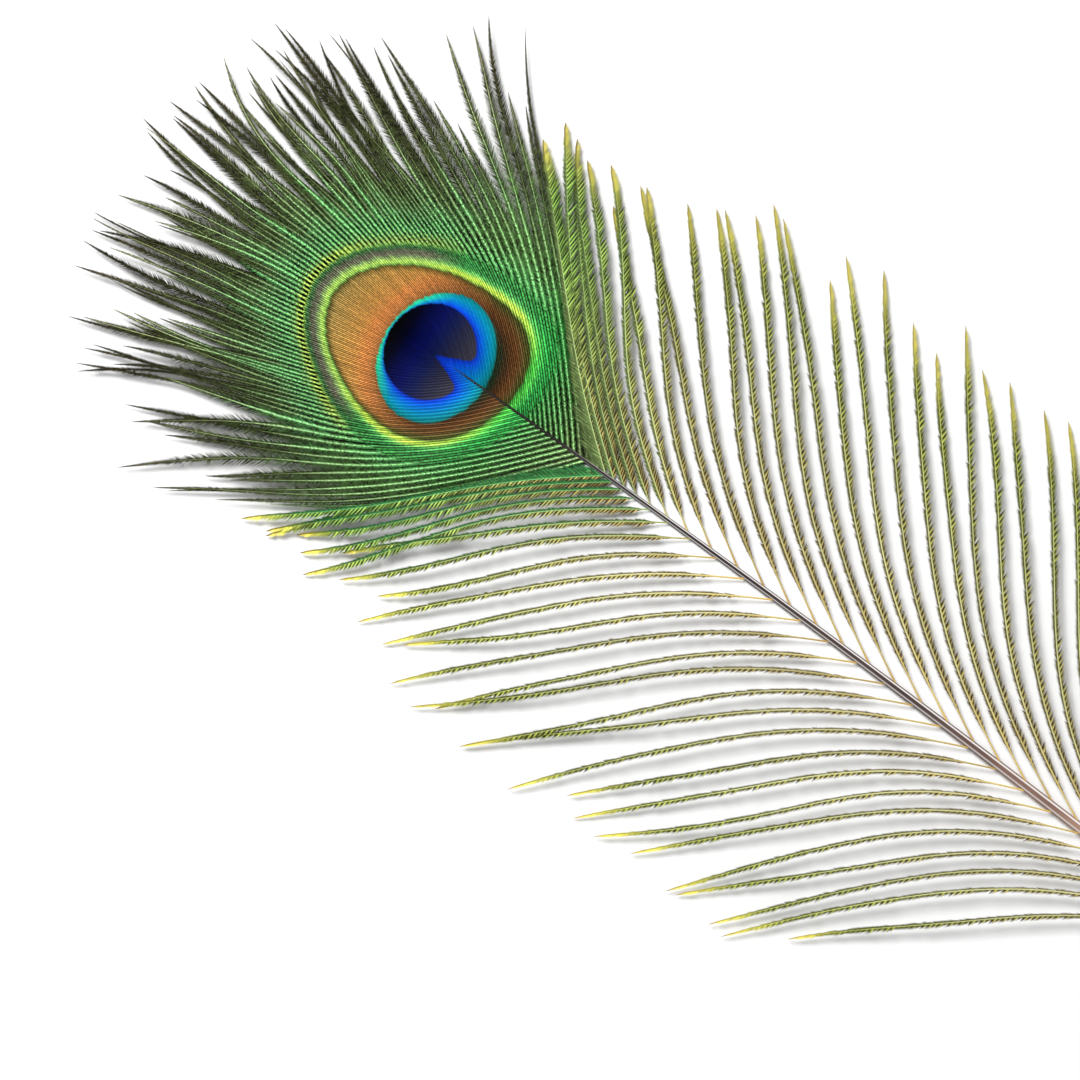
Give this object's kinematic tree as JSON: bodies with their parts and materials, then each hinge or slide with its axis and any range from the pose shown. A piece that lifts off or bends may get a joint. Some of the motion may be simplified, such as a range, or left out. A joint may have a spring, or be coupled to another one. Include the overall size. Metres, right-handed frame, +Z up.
{
  "type": "peacock eye feather",
  "caption": "Peacock eye feather lying face up: tapered shaft with a cut quill, closed vane with an iridescent eye, pointed locks past it and loose barbs down both sides.",
  "frame": {"origin": "on the flat underside of the quill, 10 mm up from its cut end, on the surface that the feather lies on", "axes": "+Y along the shaft to the tip, +X to the right of the shaft seen from above with the tip forward, +Z up out of the face"},
  "size_m": [0.1291, 0.3085, 0.0032],
  "materials": {
    "barbs": "iridescent keratin barbs, green and olive with a bronze, turquoise and blue eye",
    "shaft": "satin horn, near black at the eye, mauve brown below and cream at the cut quill"
  },
  "bodies": {
    "root": {"feather": "barbs"}
  },
  "joints": []
}
